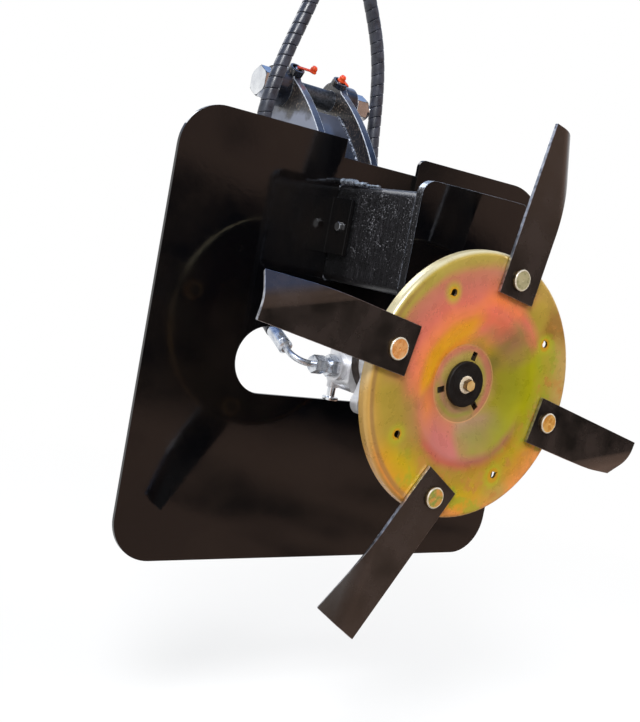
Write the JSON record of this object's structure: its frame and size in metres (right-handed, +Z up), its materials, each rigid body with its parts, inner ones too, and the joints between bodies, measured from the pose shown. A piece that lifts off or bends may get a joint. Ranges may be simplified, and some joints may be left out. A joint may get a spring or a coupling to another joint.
{
  "type": "excavator brush cutter",
  "caption": "Hydraulic disc brush cutter for a mini excavator: pin ears, box arm, flat guard with a hose slot, motor, and a dished disc with swinging blades.",
  "frame": {"origin": "middle of the arm pin's axis, halfway between the ears", "axes": "+X along the pins, to the right seen from the disc's side; +Y from the disc back towards the excavator arm; +Z up"},
  "size_m": [0.5959, 0.4448, 0.8176],
  "materials": {
    "gloss_black": "gloss black enamel",
    "rough_black": "rough black paint",
    "bright_zinc": "bright zinc plate",
    "yellow_zinc": "yellow zinc plate",
    "blade_steel": "dark tempered steel, satin",
    "silver_paint": "silver paint, satin",
    "dark_iron": "oiled dark iron",
    "hose_rubber": "matte wrapped cover",
    "cap_plastic": "satin"
  },
  "bodies": {
    "frame": {"guard_plate": "gloss_black", "hitch_plate": "gloss_black", "motor_plate": "gloss_black", "ear_left": "gloss_black", "ear_right": "gloss_black", "ear_web": "gloss_black", "arm_boss_left": "gloss_black", "arm_boss_right": "gloss_black", "link_boss_left": "gloss_black", "link_boss_right": "gloss_black", "box_arm": "rough_black", "bearing_housing": "rough_black", "grease_collar_left": "rough_black", "grease_collar_right": "rough_black", "grease_nipple_left": "bright_zinc", "grease_nipple_right": "bright_zinc", "grease_cap_left": "cap_plastic", "grease_cap_right": "cap_plastic", "tab_bolt_left": "bright_zinc", "tab_bolt_right": "bright_zinc", "link_pin": "bright_zinc", "link_nut": "bright_zinc", "housing_bolts": "bright_zinc", "flange_bolts": "bright_zinc", "drain_plug": "bright_zinc", "port_fitting_left": "bright_zinc", "port_fitting_right": "bright_zinc", "elbow_left": "bright_zinc", "elbow_right": "bright_zinc", "ferrule_left": "bright_zinc", "ferrule_right": "bright_zinc", "coupler_left": "bright_zinc", "coupler_right": "bright_zinc", "motor_flange": "silver_paint", "motor_block": "silver_paint", "motor_cap": "silver_paint", "motor_ring": "dark_iron", "hose_left": "hose_rubber", "hose_right": "hose_rubber"},
    "rotor": {"disc": "yellow_zinc", "hub": "dark_iron", "hub_washer": "rough_black", "hub_bolt": "yellow_zinc", "blade_nuts": "yellow_zinc", "blade_bolt_first": "yellow_zinc", "blade_bolt_second": "yellow_zinc", "blade_bolt_third": "yellow_zinc", "blade_bolt_fourth": "yellow_zinc"},
    "blade_1": {"blade_first": "blade_steel"},
    "blade_2": {"blade_second": "blade_steel"},
    "blade_3": {"blade_third": "blade_steel"},
    "blade_4": {"blade_fourth": "blade_steel"}
  },
  "joints": [
    {"name": "disc_spin", "type": "hinge", "parent": "frame", "child": "rotor", "pos_m": [0.01, -0.395, -0.185], "axis": [0, 1, 0], "continuous": true},
    {"name": "blade_1_swing", "type": "hinge", "parent": "rotor", "child": "blade_1", "pos_m": [0.04237, -0.3976, -0.06075], "axis": [0, 1, 0], "range_deg": [-55.9, 64.1]},
    {"name": "blade_2_swing", "type": "hinge", "parent": "rotor", "child": "blade_2", "pos_m": [-0.11425, -0.3976, -0.15263], "axis": [0, 1, 0], "range_deg": [-56.6, 63.4]},
    {"name": "blade_3_swing", "type": "hinge", "parent": "rotor", "child": "blade_3", "pos_m": [-0.02237, -0.3976, -0.30925], "axis": [0, 1, 0], "range_deg": [-79.1, 40.9]},
    {"name": "blade_4_swing", "type": "hinge", "parent": "rotor", "child": "blade_4", "pos_m": [0.13425, -0.3976, -0.21737], "axis": [0, 1, 0], "range_deg": [-58.9, 61.1]}
  ]
}
